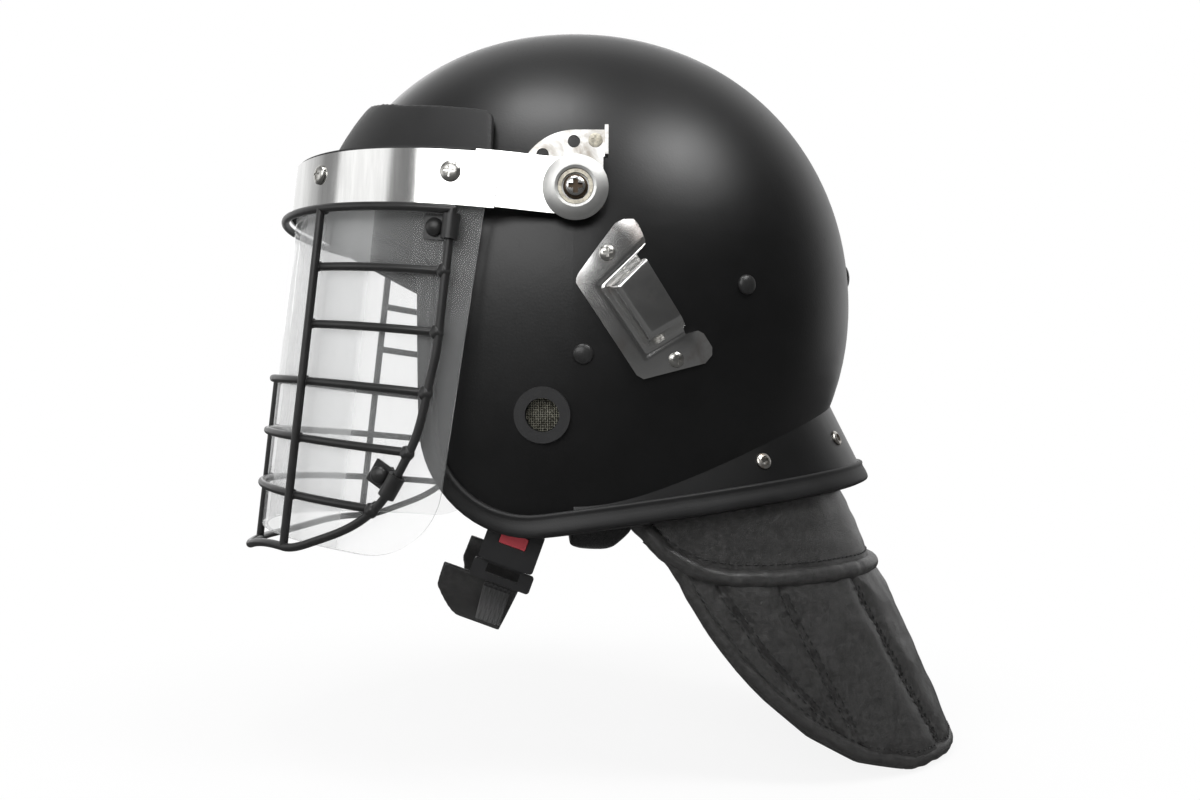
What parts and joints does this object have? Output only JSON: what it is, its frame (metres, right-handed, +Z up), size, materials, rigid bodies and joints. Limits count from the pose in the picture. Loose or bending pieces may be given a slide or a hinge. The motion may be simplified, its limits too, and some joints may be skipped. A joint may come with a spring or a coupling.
{
  "type": "riot helmet",
  "caption": "Protective helmet with a hard shell, a raisable clear visor behind a wire cage, a leather neck guard and a quick release chin strap.",
  "frame": {"origin": "the head mount: centre plane of the helmet, level of the ear ports, middle of the shell's length", "axes": "+Z up, the face looks along -Y, +X towards the wearer's left"},
  "size_m": [0.2624, 0.3879, 0.384],
  "materials": {
    "shell_black": "satin black",
    "rubber_grey": "satin",
    "rubber_black": "matte",
    "liner_foam": "matte",
    "pad_cloth": "matte",
    "screen_mesh": "woven",
    "polished_steel": "mirror polish",
    "satin_steel": "satin",
    "nylon_cream": "satin",
    "clear_sheet": "gloss, faintly grey",
    "wire_black": "satin black",
    "leather_black": "fine grain",
    "webbing_black": "woven",
    "plastic_black": "satin",
    "button_red": "satin",
    "rivet_silver": "satin"
  },
  "bodies": {
    "shell": {"outer_shell": "shell_black", "edge_trim": "rubber_grey", "brow_pad": "rubber_grey", "impact_liner": "liner_foam", "crown_pad": "pad_cloth", "sweatband": "pad_cloth", "nape_pad": "pad_cloth", "cheek_pad_left": "pad_cloth", "cheek_pad_right": "pad_cloth", "ear_grommets": "rubber_black", "ear_screens": "screen_mesh", "shell_rivets": "wire_black", "nape_rivets": "rivet_silver", "mask_hook_left": "polished_steel", "mask_hook_right": "polished_steel", "hook_screws": "satin_steel", "detent_plate_left": "satin_steel", "detent_plate_right": "satin_steel", "plate_screws": "nylon_cream", "plate_spacers": "satin_steel", "pivot_bushes": "satin_steel", "pivot_washers": "nylon_cream", "pivot_discs": "satin_steel", "pivot_rings": "nylon_cream", "pivot_screws": "polished_steel", "pivot_nuts": "satin_steel", "neck_gusset": "leather_black", "neck_collar": "leather_black", "collar_piping": "leather_black", "neck_flap": "leather_black", "flap_lining": "leather_black", "flap_binding": "leather_black", "strap_anchors": "satin_steel"},
    "visor": {"visor_band": "polished_steel", "visor_sheet": "clear_sheet", "band_gasket": "rubber_black", "band_screws": "satin_steel", "band_nuts": "satin_steel", "arm_left": "polished_steel", "arm_right": "polished_steel", "detent_pegs": "satin_steel", "cage_frame": "wire_black", "cage_uprights": "wire_black", "cage_side_bars": "wire_black", "cage_cross_bars": "wire_black", "cage_clamps": "wire_black", "clamp_screws": "wire_black", "clamp_nuts": "wire_black"},
    "left_strap": {"strap_left": "webbing_black", "buckle_socket": "plastic_black"},
    "release_button": {"release_button": "button_red"},
    "right_strap": {"strap_right": "webbing_black", "hanger_ring": "satin_steel"},
    "chin_loop": {"chin_straps": "webbing_black", "chin_cup": "leather_black", "buckle_tongue": "plastic_black"}
  },
  "joints": [
    {"name": "visor_hinge", "type": "hinge", "parent": "shell", "child": "visor", "pos_m": [0, -0.004, 0.101], "axis": [-1, 0, 0], "range_deg": [0, 83]},
    {"name": "left_strap_swing", "type": "hinge", "parent": "shell", "child": "left_strap", "pos_m": [0, -0.019, -0.02], "axis": [1, 0, 0], "range_deg": [-10.5, 5]},
    {"name": "right_strap_swing", "type": "hinge", "parent": "shell", "child": "right_strap", "pos_m": [0, -0.019, -0.02], "axis": [1, 0, 0], "range_deg": [-10.5, 5]},
    {"name": "button_press", "type": "slide", "parent": "left_strap", "child": "release_button", "axis": [-1, 0, 0], "range_m": [0, 0.0016], "stiffness_N_per_m": 400},
    {"name": "chin_loop_open", "type": "hinge", "parent": "right_strap", "child": "chin_loop", "pos_m": [-0.093, -0.03405, -0.06135], "axis": [0, 0.9397, -0.342], "range_deg": [0, 60]}
  ],
  "couplings": [
    {"joint": "right_strap_swing", "follows": "left_strap_swing", "ratio": 1}
  ]
}
